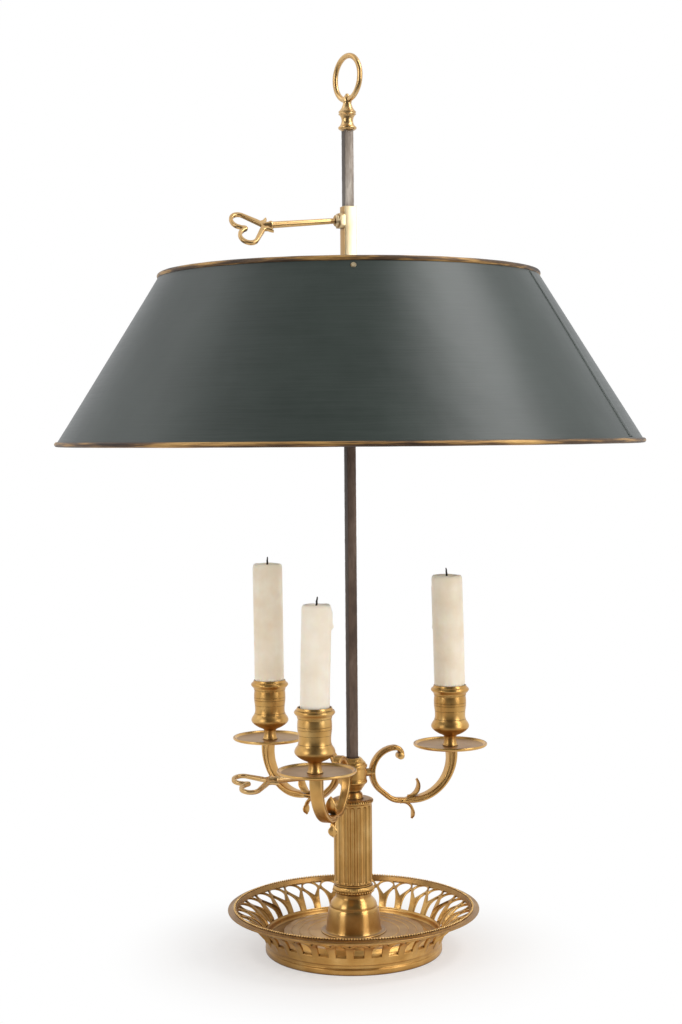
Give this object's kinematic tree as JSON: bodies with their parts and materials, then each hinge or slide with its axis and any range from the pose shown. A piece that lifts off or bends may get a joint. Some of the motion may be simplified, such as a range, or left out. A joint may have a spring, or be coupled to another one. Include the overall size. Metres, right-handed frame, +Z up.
{
  "type": "bouillotte lamp",
  "caption": "Candle lamp with a pierced basket foot and fluted column; candle arms and a conical painted shade slide on one square rod and are clamped by heart-topped keys",
  "frame": {"origin": "under the middle of the foot ring, at the height of the table", "axes": "+Z up along the rod, -Y toward the viewer of the picture, +X to the viewer's right"},
  "size_m": [0.4325, 0.4326, 0.6653],
  "materials": {
    "gilt_bronze": "gilt bronze, warm satin gold with brown in the recesses",
    "pale_brass": "bright pale brass, lightly rubbed",
    "rod_iron": "aged drawn iron, grey brown and mottled",
    "fixing_iron": "plain dark iron",
    "shade_paint": "dark green paint on sheet iron, satin, brushed round, with small chips",
    "bead_gilding": "worn gilding over a dark ground",
    "wax": "ivory wax, soft sheen",
    "wick": "charred cotton"
  },
  "bodies": {
    "stand": {"basket": "gilt_bronze", "bell_socle": "gilt_bronze", "column_collar": "gilt_bronze", "fluted_column": "gilt_bronze", "column_cap": "gilt_bronze", "stop_dome": "gilt_bronze", "rod": "rod_iron", "base_washer": "fixing_iron", "base_nut": "fixing_iron", "finial": "gilt_bronze", "lifting_ring": "gilt_bronze"},
    "shade": {"clamp_sleeve": "pale_brass", "spider": "pale_brass", "shade_cone": "shade_paint", "top_bead": "bead_gilding", "bottom_bead": "bead_gilding", "shade_rivets": "pale_brass"},
    "shade_key": {"shade_key": "pale_brass"},
    "arms": {"arm_hub": "gilt_bronze", "arm_right": "gilt_bronze", "arm_back": "gilt_bronze", "arm_front": "gilt_bronze", "pan_right": "gilt_bronze", "pan_back": "gilt_bronze", "pan_front": "gilt_bronze", "cup_right": "gilt_bronze", "cup_back": "gilt_bronze", "cup_front": "gilt_bronze"},
    "arms_key": {"arms_key": "gilt_bronze"},
    "candle_right": {"candle_right": "wax", "wick_right": "wick"},
    "candle_back": {"candle_back": "wax", "wick_back": "wick"},
    "candle_front": {"candle_front": "wax", "wick_front": "wick"}
  },
  "joints": [
    {"name": "shade_slide", "type": "slide", "parent": "stand", "child": "shade", "axis": [0, 0, 1], "range_m": [-0.11, 0.05]},
    {"name": "shade_key_turn", "type": "hinge", "parent": "shade", "child": "shade_key", "pos_m": [-0.0074, -0.00305, 0.543], "axis": [-0.9201, -0.3793, -0.0976], "range_deg": [0, 180]},
    {"name": "arm_slide", "type": "slide", "parent": "stand", "child": "arms", "axis": [0, 0, 1], "range_m": [0, 0.05]},
    {"name": "arms_key_turn", "type": "hinge", "parent": "arms", "child": "arms_key", "pos_m": [0, 0, 0.133], "axis": [-0.9245, -0.3811, 0], "range_deg": [0, 180]},
    {"name": "candle_right_lift", "type": "slide", "parent": "arms", "child": "candle_right", "axis": [0, 0, 1], "range_m": [0, 0.034]},
    {"name": "candle_back_lift", "type": "slide", "parent": "arms", "child": "candle_back", "axis": [0, 0, 1], "range_m": [0, 0.034]},
    {"name": "candle_front_lift", "type": "slide", "parent": "arms", "child": "candle_front", "axis": [0, 0, 1], "range_m": [0, 0.034]}
  ]
}
